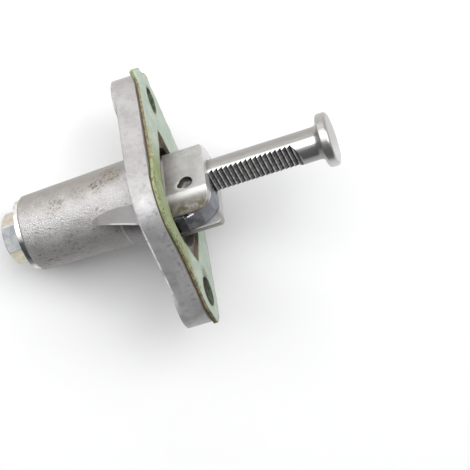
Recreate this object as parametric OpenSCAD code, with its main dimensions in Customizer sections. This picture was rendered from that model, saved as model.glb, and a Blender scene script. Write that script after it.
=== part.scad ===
// Ratchet chain tensioner: cast housing, sprung plunger with a sawtooth rack, pawl, gasket and plug bolt.
// Millimetres. X runs along the plunger towards its head, Y along the line of the two bolt holes, Z is up.
// The origin is the middle of the bolt line on the flange's machined face.

/* [Flange] */
// distance between the two bolt holes
hole_spacing = 43; // [36:0.5:56]
// radius of each bolt hole
hole_r = 3.3; // [2.6:0.1:4.4]
// radius of the flange's two ends, round the bolt holes
flange_end_r = 6.4; // [5.6:0.1:9]
// half of the flange's width across the bolt line
flange_half_w = 18.6; // [16:0.2:24]
// radius of the flange's two sides
flange_side_r = 12.5; // [8:0.5:15]
// thickness of the flange
flange_t = 4.9; // [4:0.1:8]
// height of the plunger's axis above the middle of the bolt line
axis_up = 1.9; // [1.2:0.1:2.4]
// height of the bolt pads on the flange's back
pad_t = 0.7; // [0.2:0.1:2]

/* [Barrel] */
// distance from the flange's face to the barrel's rear end
barrel_back = 33.2; // [30:0.1:50]
// radius of the barrel at the flange
barrel_root_r = 9.2; // [7:0.1:10.5]
// radius of the barrel at its rear end
barrel_end_r = 8.4; // [6.5:0.1:10]
// radius of the fillet between barrel and flange
barrel_fillet = 1; // [0.4:0.1:1.6]
// width of the two gusset ribs at the flange
rib_t = 4.6; // [3:0.1:6]
// length of the ribs along the barrel
rib_len = 12.5; // [8:0.5:16]
// length of the thicker skirt under the barrel's root
skirt_len = 6.9; // [3:0.1:12]
// how far the skirt stands out of the barrel's root
skirt_t = 0.25; // [0.1:0.05:0.8]

/* [Boss] */
// distance from the flange's face to the boss's front
boss_front = 9; // [8:0.1:12]
// radius of the boss
boss_r = 9; // [8.6:0.1:9.3]
// shift of the boss's centre from the plunger's axis towards the pawl
boss_shift = 2.1; // [1.6:0.1:2.6]
// half of the width across the boss's two flats
boss_half_w = 5.6; // [5.2:0.1:6.4]
// rounding of the boss's front edge
boss_round = 0.8; // [0.3:0.1:1.4]
// rounding of the near cheek's front corner, over the pawl
cheek_round = 4; // [2:0.1:4.6]
// slant of the near cheek's outside
cheek_slant = 38; // [30:1:45]
// radius of the relief ring round the boss
ring_r = 11.2; // [10.8:0.1:12]
// depth of the relief ring
ring_depth = 2.4; // [1.6:0.1:3]
// turn of the pawl's slot about the plunger's axis, from straight up
slot_turn = 50; // [30:1:60]
// width of the pawl's slot
slot_w = 5.2; // [4.8:0.1:6]

/* [Plunger] */
// radius of the plunger's rod
rod_r = 3.58; // [3.3:0.02:3.9]
// radial running clearance of the plunger in its bore
rod_clear = 0.04; // [0.02:0.01:0.08]
// position of the plunger's tail, behind the flange's face
rod_tail = 6; // [4:0.5:8]
// position of the back of the plunger's head
head_back = 33.9; // [32:0.1:40]
// thickness of the plunger's head
head_t = 2.5; // [2:0.1:4]
// radius of the plunger's head
head_r = 5.9; // [4.5:0.1:7]
// rounding of the head's rim
head_round = 0.75; // [0.3:0.05:0.9]
// radius of the hollow between the rod and the head
neck_round = 1.3; // [0.6:0.1:1.5]
// radius of the spring's pocket in the plunger's tail
pocket_r = 2.1; // [2.05:0.05:2.3]
// depth of the spring's pocket
pocket_depth = 7; // [4:0.5:7.5]

/* [Rack] */
// distance between teeth
tooth_pitch = 1.1; // [1.05:0.01:1.15]
// number of teeth on the rack
tooth_count = 23; // [23:1:25]
// distance of the tooth tips from the plunger's axis
tooth_tip = 1.75; // [1.65:0.05:1.8]
// height of the teeth
tooth_h = 0.55; // [0.5:0.05:0.6]

/* [Pawl] */
// position of the pawl's pin in front of the flange's face
pin_x = 4.6; // [4.5:0.05:4.7]
// distance of the pawl's pin from the plunger's axis
pin_out = 4.4; // [4.4:0.05:4.6]
// radius of the pawl's pin
pin_r = 1.25; // [1.1:0.05:1.35]
// depth of the pin's ends below the boss's flats
pin_sunk = 1.2; // [0.4:0.1:1.4]
// width of the pawl
pawl_w = 4.9; // [4.5:0.05:4.95]
// radius of the pawl round its pin
hub_r = 2.3; // [2.2:0.05:2.3]
// running clearance of the pawl on its pin
pin_clear = 0.05; // [0.03:0.01:0.08]
// gap between the pawl's tooth and the rack's flank
tooth_gap = 0.02; // [0.01:0.01:0.04]

/* [Gasket] */
// thickness of the paper gasket
gasket_t = 0.8; // [0.4:0.1:1.5]
// how far the gasket's ends stand out past the flange
gasket_lip = 0.4; // [0.1:0.1:0.8]
// radius of the gasket's round opening
opening_r = 10.9; // [10.7:0.1:11.5]
// half of the opening's length along the bolt line
opening_half = 14.5; // [13.8:0.1:15]
// how far the opening's round lies below the middle of its length
opening_drop = 1.3; // [0.5:0.1:1.6]
// radius of the opening's two pointed ends
opening_tip_r = 1.2; // [0.6:0.1:2]

/* [Plug] */
// distance across the flats of the plug bolt's head
hex_af = 10; // [8:0.5:13]
// height of the plug bolt's head
hex_h = 4.2; // [2.4:0.1:5]
// radius of the plug bolt's shank
shank_r = 3.95; // [3:0.05:4.2]
// length of the shank inside the barrel
shank_len = 5.7; // [5:0.1:7]
// thickness of the sealing washer
washer_t = 1; // [0.8:0.1:2]
// radius of the sealing washer
washer_r = 7.9; // [6.8:0.1:8.2]

/* [Springs] */
// wire diameter of the plunger's spring
spring_wire = 0.5; // [0.4:0.05:0.55]
// mean coil radius of the plunger's spring
spring_coil_r = 1.75; // [1.6:0.05:1.8]
// number of coils of the plunger's spring
spring_turns = 16; // [10:1:16]
// wire diameter of the pawl's spring
hair_wire = 0.45; // [0.35:0.05:0.45]
// mean coil radius of the pawl's spring
hair_coil_r = 1.65; // [1.6:0.05:1.7]

/* [Hidden] */
$fn = 64;
far = 40;
hole_half = hole_spacing / 2;
mech_turn = 90 + slot_turn;
bore_r = rod_r + rod_clear;
tooth_root = tooth_tip - tooth_h;
// the rack's rear wall stops against the pawl's hub when the plunger is fully out
stop_gap = 0.05;
rack_back = pin_x - sqrt(pow(hub_r, 2) - pow(pin_out - rod_r, 2)) - stop_gap;
rack_front = rack_back + tooth_count * tooth_pitch;
// the pawl's tooth lies half way down the fifth tooth's flank
tip_x = rack_back + 4.5 * tooth_pitch;
tip_n = tooth_tip - tooth_h / 2 + tooth_gap;
shank_tip = shank_len - barrel_back;
washer_back = -barrel_back - washer_t;
ledge_n = pin_out + hair_coil_r - hair_wire / 2;
hair_lift = 0.82;
hair_z = -pawl_w / 2 + 0.3;
recess_depth = 1.4;
groove_depth = 0.55;
// the pawl's sloping back, from above its tail to above its tooth
back_rear = [pin_x - hub_r, pin_out + 2.87 * hub_r];
back_front = [pin_x + 0.52 * hub_r, pin_out + 2.41 * hub_r];
function back_out(x) = back_rear.y
    + (x - back_rear.x) * (back_front.y - back_rear.y) / (back_front.x - back_rear.x);

// turns what is drawn along Z to lie along X, on the middle of the bolt line
module along_x(x = 0) translate([x, 0, 0]) rotate([0, 90, 0]) children();

// the same on the plunger's axis
module on_axis(x = 0) translate([0, axis_up, 0]) along_x(x) children();

// plane of the pawl: X forward, Y out from the plunger's axis, Z along the pin
module in_slot() translate([0, axis_up, 0]) rotate([mech_turn, 0, 0]) children();

// outline of two small end circles and two large side circles joined by tangents
module lozenge(end_y, end_r, side_x, side_r) {
    // the straight sides start a hair inside the circles
    tuck = 0.004;
    run = norm([side_x, end_y]);
    lean = acos((end_r - side_r) / run) - atan2(end_y, side_x);
    a = [0, end_y] + (end_r - tuck) * [cos(lean), sin(lean)];
    b = [side_x, 0] + (side_r - tuck) * [cos(lean), sin(lean)];
    polygon([a, b, [b.x, -b.y], [a.x, -a.y], [-a.x, -a.y], [-b.x, -b.y], [-b.x, b.y], [-a.x, a.y]]);
    for (s = [-1, 1]) {
        translate([0, s * end_y]) circle(end_r);
        translate([s * side_x, 0]) circle(side_r);
    }
}

module flange_outline(lip = 0) lozenge(hole_half, flange_end_r + lip,
    flange_half_w - flange_side_r, flange_side_r);

module bolt_holes(from, to) for (s = [-1, 1])
    along_x(from) translate([0, s * hole_half, 0]) cylinder(r = hole_r, h = to - from);

module flange() {
    along_x(-flange_t) linear_extrude(flange_t) flange_outline();
    for (s = [-1, 1])
        along_x(-flange_t - pad_t) translate([0, s * hole_half, 0])
            cylinder(r = flange_end_r, h = pad_t + 1);
}

module barrel() {
    lip = 0.5;
    lean = (barrel_root_r - barrel_end_r) / (barrel_back - flange_t);
    root_r = barrel_root_r + barrel_fillet;
    on_axis(-barrel_back) rotate_extrude() difference() {
        polygon([[0, 0], [barrel_end_r - lip, 0], [barrel_end_r, lip],
                 [barrel_root_r - lean * barrel_fillet, barrel_back - flange_t - barrel_fillet],
                 [root_r, barrel_back - flange_t - barrel_fillet],
                 [root_r, barrel_back - flange_t + 1], [0, barrel_back - flange_t + 1]]);
        translate([root_r, barrel_back - flange_t - barrel_fillet]) circle(barrel_fillet);
    }
}

// two gussets from the barrel to the flange's sides, pointed at the barrel and wide at the flange
module ribs() for (s = [-1, 1]) intersection() {
    rib_top = flange_half_w - 0.9;
    translate([0, far, 0]) rotate([90, 0, 0]) linear_extrude(2 * far)
        polygon([[-flange_t + 1, 0], [-flange_t + 1, s * rib_top], [-flange_t, s * rib_top],
                 [-flange_t - rib_len, s * (barrel_end_r - 0.1)], [-flange_t - rib_len, 0]]);
    translate([-flange_t, 0, -far]) linear_extrude(2 * far)
        polygon([[-1.05 * rib_len, -0.05 * rib_t], [-0.9 * rib_len, 0.1 * rib_t],
                 [-0.77 * rib_len, 0.21 * rib_t], [-0.57 * rib_len, 0.27 * rib_t],
                 [-0.33 * rib_len, 0.26 * rib_t], [0, 0.15 * rib_t], [1, 0.15 * rib_t],
                 [1, -0.85 * rib_t], [0, -0.84 * rib_t], [-0.38 * rib_len, -0.56 * rib_t],
                 [-0.6 * rib_len, -0.41 * rib_t], [-0.75 * rib_len, -0.31 * rib_t],
                 [-0.93 * rib_len, -0.2 * rib_t]]);
}

// thicker cast skirt under the barrel's root
module skirt() intersection() {
    bevel = 0.6;
    on_axis(-flange_t - skirt_len) rotate_extrude()
        polygon([[0, 0], [barrel_root_r - 0.5, 0], [barrel_root_r + skirt_t, bevel],
                 [barrel_root_r + skirt_t, skirt_len + 1], [0, skirt_len + 1]]);
    translate([-far, -far - rib_t / 2, -far]) cube([2 * far, far, 2 * far]);
}

// round boss with two flats; the near cheek slants in to the slot and is rounded over the pawl
module boss() difference() {
    sunk = ring_depth + 0.5;
    edge = boss_shift + sqrt(pow(boss_r, 2) - pow(slot_w / 2, 2));
    intersection() {
        in_slot() translate([0, boss_shift, 0]) along_x(-sunk) rotate_extrude() {
            square([boss_r, boss_front + sunk - boss_round]);
            square([boss_r - boss_round, boss_front + sunk]);
            translate([boss_r - boss_round, boss_front + sunk - boss_round]) circle(boss_round);
        }
        in_slot() translate([-far, -far, -boss_half_w]) cube([2 * far, 2 * far, 2 * boss_half_w]);
    }
    in_slot() translate([-1, edge - (boss_half_w - slot_w / 2) / tan(cheek_slant) - 0.3, -boss_half_w])
        rotate([cheek_slant, 0, 0]) translate([0, 0, -far]) cube([far, far, far]);
    in_slot() translate([boss_front - cheek_round, edge - cheek_round, -far]) linear_extrude(far)
        difference() {
            square(2 * cheek_round);
            circle(cheek_round);
        }
}

module slot_cut() {
    in_slot() translate([0, 0, -slot_w / 2]) cube([far, far, slot_w]);
    intersection() {
        in_slot() translate([-ring_depth, ledge_n, -slot_w / 2]) cube([far, far, slot_w]);
        along_x(-ring_depth) cylinder(r = ring_r, h = far);
    }
}

module pin_holes() in_slot() translate([pin_x, pin_out, -far]) {
    cylinder(r = pin_r + 0.01, h = 2 * far);
    // the near hole's wider mouth, and the punch mark beside it
    translate([0, 0, far - boss_half_w - 1]) cylinder(r = 1.18 * pin_r, h = 1 + pin_sunk);
    translate([-0.9 * pin_r, 0.35 * pin_r, far - boss_half_w - 1])
        cylinder(r = 0.62 * pin_r, h = 1 + pin_sunk);
}

module housing() color([0.68, 0.67, 0.66]) difference() {
    union() {
        difference() {
            union() {
                flange();
                barrel();
                ribs();
                skirt();
            }
            along_x(-ring_depth) cylinder(r = ring_r, h = far);
        }
        boss();
    }
    on_axis(shank_tip - 1) cylinder(r = bore_r, h = far + barrel_back);
    on_axis(-barrel_back - 1) cylinder(r = shank_r + 0.05, h = shank_len + 1);
    bolt_holes(-flange_t - pad_t - 1, 1);
    slot_cut();
    pin_holes();
}

// circle with one pointed end
module teardrop(reach, end_r, r) {
    lean = asin((r - end_r) / reach);
    tuck = 0.004;
    a = [0, reach] + (end_r - tuck) * [cos(lean), sin(lean)];
    b = (r - tuck) * [cos(lean), sin(lean)];
    polygon([a, b, [-b.x, b.y], [-a.x, a.y]]);
    translate([0, reach]) circle(end_r);
    circle(r);
}

// paper gasket, its top tip frayed past the flange and torn in from one side
module gasket() color([0.68, 0.76, 0.66]) difference() {
    along_x() {
        linear_extrude(gasket_t) flange_outline(gasket_lip);
        linear_extrude(gasket_t) polygon([[-6, hole_half + 1], [-5.4, hole_half + 6.2],
            [-1.4, hole_half + 7.5], [3.6, hole_half + 6.4], [5, hole_half + 1]]);
    }
    along_x(-1) {
        for (s = [-1, 1])
            translate([-1, -opening_drop, 0]) rotate([0, 0, 90 - s * 90]) linear_extrude(gasket_t + 2)
                teardrop(opening_half + s * opening_drop - opening_tip_r, opening_tip_r, opening_r);
        linear_extrude(gasket_t + 2) polygon([[6.9, hole_half + 3.6], [5.2, hole_half + 4.4],
            [5.6, hole_half + 5.4], [8, hole_half + 6]]);
    }
    bolt_holes(-1, gasket_t + 1);
}

// outline of what the rack's cutter takes away
module rack_outline() {
    run_out = 1.5;
    polygon([
        [rack_back, far],
        for (i = [0 : tooth_count - 1]) each [
            [rack_back + i * tooth_pitch, tooth_tip],
            [rack_back + (i + 1) * tooth_pitch, tooth_root]
        ],
        [rack_front, tooth_tip],
        [rack_front + 0.2, tooth_tip],
        [rack_front + run_out, rod_r],
        [rack_front + run_out + 0.6, far]
    ]);
}

module plunger() color([0.75, 0.75, 0.76]) difference() {
    on_axis(-rod_tail) rotate_extrude() {
        chamfer = 0.5;
        neck = head_back + rod_tail;
        difference() {
            polygon([[0, 0], [rod_r - chamfer, 0], [rod_r, chamfer], [rod_r, neck - neck_round],
                     [rod_r + neck_round, neck - neck_round], [rod_r + neck_round, neck + head_t / 2],
                     [0, neck + head_t / 2]]);
            translate([rod_r + neck_round, neck - neck_round]) circle(neck_round);
        }
        translate([0, neck + head_round]) square([head_r, head_t - 2 * head_round]);
        translate([0, neck]) square([head_r - head_round, head_t]);
        for (y = [head_round, head_t - head_round])
            translate([head_r - head_round, neck + y]) circle(head_round);
    }
    in_slot() translate([0, 0, -far]) linear_extrude(2 * far) rack_outline();
    on_axis(-rod_tail - 1) cylinder(r = pocket_r, h = pocket_depth + 1);
}

// side view of the pawl: tooth, front, outer back and tail round the hub
module pawl_outline() difference() {
    union() {
        translate([pin_x, pin_out]) circle(hub_r);
        polygon([[tip_x, tip_n], [tip_x + 0.23 * tooth_pitch, tip_n + 1.45 * tooth_h],
                 [pin_x + 2 * hub_r, pin_out - 0.04 * hub_r], [pin_x + 1.95 * hub_r, pin_out + 0.91 * hub_r],
                 [pin_x + 1.56 * hub_r, pin_out + 1.61 * hub_r], back_front, back_rear,
                 [pin_x - 1.87 * hub_r, pin_out + 2.76 * hub_r],
                 [pin_x - 1.91 * hub_r, pin_out + 1.39 * hub_r],
                 [pin_x - 0.91 * hub_r, pin_out + 0.26 * hub_r], [pin_x, pin_out],
                 [tip_x - 1.09 * tooth_pitch, tip_n + 1.31 * tooth_h]]);
    }
    translate([pin_x, pin_out]) circle(pin_r + pin_clear);
}

module pawl() color([0.33, 0.33, 0.36]) in_slot() difference() {
    translate([0, 0, -pawl_w / 2]) linear_extrude(pawl_w) pawl_outline();
    // recess for the spring's coil, and grooves for its two legs
    translate([0, 0, -pawl_w / 2 - 1]) {
        translate([pin_x, pin_out, 0]) cylinder(r = hair_coil_r + hair_wire, h = recess_depth + 1);
        translate([-1, pin_out + hair_coil_r - 0.9 * hair_wire, 0])
            cube([pin_x + 1, 1.8 * hair_wire, recess_depth + 1]);
        translate([pin_x - hair_coil_r - hair_wire, pin_out, 0]) cube([2 * hair_wire, far, groove_depth + 1]);
    }
}

module pawl_pin() color([0.5, 0.5, 0.52]) in_slot()
    translate([pin_x, pin_out, pin_sunk - boss_half_w]) cylinder(r = pin_r, h = 2 * (boss_half_w - pin_sunk));

// round wire swept along a path that never runs along Z
module wire(path, r, sides = 8) {
    last = len(path) - 1;
    rings = [for (i = [0 : last])
        let (t = path[min(i + 1, last)] - path[max(i - 1, 0)],
             across = cross(t / norm(t), [0, 0, 1]),
             u = across / norm(across),
             v = cross(u, t / norm(t)))
        for (k = [0 : sides - 1]) path[i] + r * (cos(360 * k / sides) * u + sin(360 * k / sides) * v)];
    polyhedron(rings, concat(
        [[for (k = [0 : sides - 1]) k]],
        [for (i = [0 : last - 1], k = [0 : sides - 1])
            [i * sides + k, (i + 1) * sides + k,
             (i + 1) * sides + (k + 1) % sides, i * sides + (k + 1) % sides]],
        [[for (k = [sides - 1 : -1 : 0]) last * sides + k]]), 4);
}

// torsion spring: hooked over the pawl's back, round the pin, and back onto the housing's ledge
module pawl_spring() color([0.6, 0.6, 0.62]) in_slot() {
    r = hair_coil_r;
    side = pin_x - r;
    lie = 0.6 * hair_wire;
    hook = [[side + r, back_out(side + r) + lie, hair_z],
            [side + 0.4 * r, back_out(side + 0.4 * r) + lie, hair_z],
            [side + 0.15 * r, back_out(side + 0.15 * r) + lie, hair_z],
            [side, back_out(side) - lie, hair_z]];
    coil = [for (a = [0 : 15 : 630])
        [pin_x + r * cos(180 + a), pin_out + r * sin(180 + a), hair_z + hair_lift * a / 630]];
    leg = [[-ring_depth + 0.1, pin_out + r, hair_z + hair_lift]];
    wire(concat(hook, coil, leg), hair_wire / 2);
}

// height of the spring's wire after so many turns: closed coils at both ends, open ones between
function rise(turn, span) = turn < 1 ? turn * spring_wire
    : turn > spring_turns - 1 ? span - spring_wire / 2 - (spring_turns - turn) * spring_wire
    : spring_wire + (turn - 1) * (span - 2.5 * spring_wire) / (spring_turns - 2);

// compression spring with closed ends, ground flat
module plunger_spring() color([0.62, 0.62, 0.64]) {
    span = pocket_depth - rod_tail - shank_tip;
    intersection() {
        on_axis(shank_tip) wire([for (turn = [0 : 1 / 18 : spring_turns + 0.01])
            [spring_coil_r * cos(360 * turn), spring_coil_r * sin(360 * turn),
             rise(turn, span) + spring_wire / 4]],
            spring_wire / 2, 6);
        on_axis(shank_tip) cylinder(r = spring_coil_r + spring_wire, h = span);
    }
}

module plug_bolt() color([0.76, 0.74, 0.68]) {
    corner = hex_af / sqrt(3);
    intersection() {
        on_axis(washer_back - hex_h) rotate([0, 0, 30]) cylinder(r = corner, h = hex_h, $fn = 6);
        on_axis(washer_back - hex_h)
            cylinder(r1 = hex_af / 2 - 0.2, r2 = hex_af / 2 - 0.2 + 2 * hex_h, h = hex_h);
    }
    on_axis(washer_back - 0.5) cylinder(r = shank_r, h = shank_tip - washer_back + 0.5);
}

module sealing_washer() color([0.78, 0.77, 0.72]) on_axis(washer_back) difference() {
    cylinder(r = washer_r, h = washer_t);
    translate([0, 0, -1]) cylinder(r = shank_r + 0.2, h = washer_t + 2);
}

housing();
gasket();
plunger();
pawl();
pawl_pin();
pawl_spring();
plunger_spring();
plug_bolt();
sealing_washer();
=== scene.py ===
import math
import bmesh
import bpy
from mathutils import Matrix, Vector, noise


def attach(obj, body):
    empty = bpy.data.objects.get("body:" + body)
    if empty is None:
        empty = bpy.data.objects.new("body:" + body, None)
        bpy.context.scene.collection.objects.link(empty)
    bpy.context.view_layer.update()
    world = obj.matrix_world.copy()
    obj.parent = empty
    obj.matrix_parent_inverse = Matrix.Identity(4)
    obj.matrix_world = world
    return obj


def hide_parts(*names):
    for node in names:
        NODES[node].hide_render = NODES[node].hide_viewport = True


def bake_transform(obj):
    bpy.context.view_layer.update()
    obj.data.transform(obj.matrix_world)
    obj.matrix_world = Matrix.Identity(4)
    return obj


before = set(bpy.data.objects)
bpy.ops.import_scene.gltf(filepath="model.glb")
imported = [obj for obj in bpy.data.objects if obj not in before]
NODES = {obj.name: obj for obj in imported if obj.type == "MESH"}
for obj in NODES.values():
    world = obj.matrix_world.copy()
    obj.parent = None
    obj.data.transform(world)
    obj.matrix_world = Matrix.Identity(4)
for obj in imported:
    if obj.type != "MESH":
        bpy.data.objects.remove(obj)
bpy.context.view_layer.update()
MM = 0.001
WHITE = (1.0, 1.0, 1.0, 1.0)

# sizes shared with the part's source, in millimetres
AXIS_UP = 1.9
FLANGE_T = 4.9
FLANGE_END_R = 6.4
HOLE_HALF = 21.5
HOLE_R = 3.3
SLOT_TURN = math.radians(50)
GASKET_T = 0.8
GASKET_END_R = 6.8
GASKET_SIDE_R = 12.5
GASKET_SIDE_Z = 6.1
OPENING_R = 10.9
OPENING_HALF = 14.5
OPENING_DROP = 1.3
OPENING_TIP_R = 1.2
OPENING_Z = 1.0
HEAD_BACK = 33.9
RACK_BACK = 2.4
RACK_FRONT = 27.7
TOOTH_PITCH = 1.1
PIN_X = 4.6
PIN_OUT = 4.4
PIN_R = 1.25
# middle of the stake mark beside the pin
STAKE_X = PIN_X - 0.9 * PIN_R
STAKE_OUT = PIN_OUT + 0.35 * PIN_R
# lower edge of the near rib along the barrel: slope, and height where the flange's face would be
RIB_SLOPE = -0.255
RIB_LOW = -5.1
# sideways part of the slanted hexagon flats' outward direction
HEX_SIDE = math.sin(math.radians(60))
# direction out of the rack, across the plunger's axis, and out of the boss's near flat
RACK_OUT = Vector((0, -math.sin(SLOT_TURN), math.cos(SLOT_TURN)))
FLAT_OUT = Vector((0, math.cos(SLOT_TURN), math.sin(SLOT_TURN)))

# frayed outlines of the gasket's top tip and its pointed foot, across and along the bolt line
GASKET_TIP = ((5.6, 24.0), (5.0, 26.5), (5.4, 27.9), (4.0, 28.7), (0.8, 28.9), (1.0, 27.95),
              (-3.0, 27.6), (-4.4, 26.7), (-4.8, 24.0))
GASKET_FOOT = ((5.2, -24.6), (0.6, -28.6), (-2.8, -27.5), (-5.0, -24.4))
# how far the paper has shrunk, and over what length it comes to that away from the near corner
GASKET_SHRINK = 1.3
SHRINK_FREE = 3.0
SHRINK_RAMP = 6.0
# steps round the gasket and rings from its opening to its edge
GASKET_TURNS = 540
GASKET_RINGS = 12
# unevenness of the paper, as pitch, layer of the noise and height: its waves and its cut edges
GASKET_WAVES = ((0.16, 2.3, 0.1), (0.5, 7.1, 0.05))
EDGE_RAGGED = (22, 1.7, 0.16)
EDGE_TRIM = 0.05
OPENING_RAGGED = (18, 5.2, 0.12)
# the top tip curls forward from here on, and its near corner bends back past the flange
CURL_START = 24.5
CURL_RATE = 0.015
CORNER_BEND = 0.4
CORNER_LONGEST = 2.0
CORNER_START = -1.0
CORNER_WIDTH = 2.5
# the gasket's two bolt holes: middle along and across the bolt line, then half sizes
PUNCHES = {-1: (-HOLE_HALF, 0.0, HOLE_R, HOLE_R), 1: (HOLE_HALF, -1.5, 3.0, 2.2)}
PUNCH_STEPS = 48
PUNCH_ENDS = (-3.0, 6.0)
PUNCH_PITCH = 2.2
PUNCH_LAYER = 3.1
PUNCH_RAGGED = 0.16
# faces whose normal is nearer than this to the gasket's front are shaded smooth
FLAT_SHARE = 0.7
# the whole gasket's reach is found by halving this length so many times
REACH_LONGEST = 60.0
REACH_HALVINGS = 40

# dried sealant along the gasket's near edge: turn about the opening's middle, points of the path, flakes
FLAKE_START = math.radians(64)
FLAKE_END = math.radians(-72)
FLAKE_PATH_POINTS = 90
FLAKE_INSET = 0.9
FLAKE_COUNT = 120
FLAKE_SHARE = 0.55
FLAKE_SIZE = 0.32
FLAKE_SMALLEST = 0.3
FLAKE_SHAPE = (0.5, 1.9, 0.8)
FLAKE_TURN = Vector((0.5, 0.6, 0.5))
FLAKE_ROUNDS = 2
FLAKE_SPREAD = Vector((0.06, 0.5, 0.9))
FLAKE_SEED = 11
FLAKE_INPUTS = {
    "Geometry": "NodeSocketGeometry",
    "Flake Count": "NodeSocketInt",
    "Flake Size": "NodeSocketFloat",
    "Spread": "NodeSocketVector",
    "Seed": "NodeSocketInt",
    "Flake Share": "NodeSocketFloat",
}

# vertices of the spring nearer than this are one
WELD = 0.001

# the part rests on its flange's far side and the barrel's rear edge, so the floor leans under it
FLOOR_LEAN = math.radians(16.7)
FLOOR_TOUCH = (-2.5, -18.75)
FLOOR_LEVEL_OUT = 95.0
FLOOR_STATIONS = (20, 40, 55, 70, 85, 100, 120, 150, 200, 300, 600, 900)
FLOOR_HALF = 900
FLOOR_PAINT = (0.83, 0.83, 0.83, 1.0)
FLOOR_GLOW = 0.06
FLOOR_NEAR = 110
FLOOR_FAR = 300
# the room is darker below and lighter above, between these heights of the direction looked in
ROOM_LOW = -0.5
ROOM_HIGH = 0.75
ROOM_DARK = 0.12
ROOM_LIGHT = 0.46
ROOM_TINT = (0.97, 0.98, 1.0, 1.0)
# softboxes aimed at the part: place, width and height, power
SOFTBOXES = {
    "key_softbox": ((40, 180, 482), (900, 420), 3.5),
    "top_softbox": ((-30, 430, 170), (620, 260), 0.55),
    "fill_softbox": ((330, 60, 240), (240, 240), 0.6),
}
# the camera, measured from the photograph: side turn, roll, distance and shift of the view's centre
CAMERA_TURN = math.radians(11.516)
CAMERA_ROLL = math.radians(17.156)
CAMERA_DISTANCE = 349.07
CAMERA_CENTRE = (-13.34, 9.998)
# its focal length in pixels of the photograph, and the photograph's width in pixels
CAMERA_FOCAL = 1620.82
CAMERA_PIXELS = 470
CAMERA_SENSOR = 36
CAMERA_CLIP = (0.01, 20)


# nodes and objects

def feed(tree, socket, value):
    """Links the socket to another one, or sets its value."""
    if isinstance(value, bpy.types.NodeSocket):
        tree.links.new(value, socket)
    else:
        socket.default_value = value


def add_node(tree, kind, inputs=None, **settings):
    """Adds a node with its settings, and feeds its inputs, given by name or number."""
    node = tree.nodes.new(kind)
    for name, value in settings.items():
        setattr(node, name, value)
    for key, value in (inputs or {}).items():
        feed(tree, node.inputs[key], value)
    return node


def add_math(tree, operation, a, b=0.0, c=0.0):
    return add_node(tree, "ShaderNodeMath", {0: a, 1: b, 2: c}, operation=operation).outputs[0]


def smooth_step(tree, value, start, end, low, high):
    node = add_node(tree, "ShaderNodeMapRange", {
        "Value": value,
        "From Min": start,
        "From Max": end,
        "To Min": low,
        "To Max": high,
    }, interpolation_type="SMOOTHSTEP")
    return node.outputs["Result"]


def mix_shaders(tree, share, first, second):
    node = add_node(tree, "ShaderNodeMixShader", {0: share, 1: first.outputs[0], 2: second.outputs[0]})
    return node.outputs[0]


def of_type(sockets, kind, name=None):
    """First socket of that type, and of that name if one is given."""
    return next(s for s in sockets if s.type == kind and name in (None, s.name))


def add_object(name, data):
    added = bpy.data.objects.new(name, data)
    bpy.context.collection.objects.link(added)
    return added


def close_mesh(bm, name):
    mesh = bpy.data.meshes.new(name)
    bm.to_mesh(mesh)
    bm.free()
    return mesh


def evaluated_mesh(source, name):
    """What the object's modifiers make of it, as a mesh of its own."""
    evaluated = source.evaluated_get(bpy.context.evaluated_depsgraph_get())
    mesh = bpy.data.meshes.new_from_object(evaluated)
    mesh.name = name
    return mesh


def dress(mesh, finish):
    mesh.materials.clear()
    mesh.materials.append(finish)


# finishes

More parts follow.
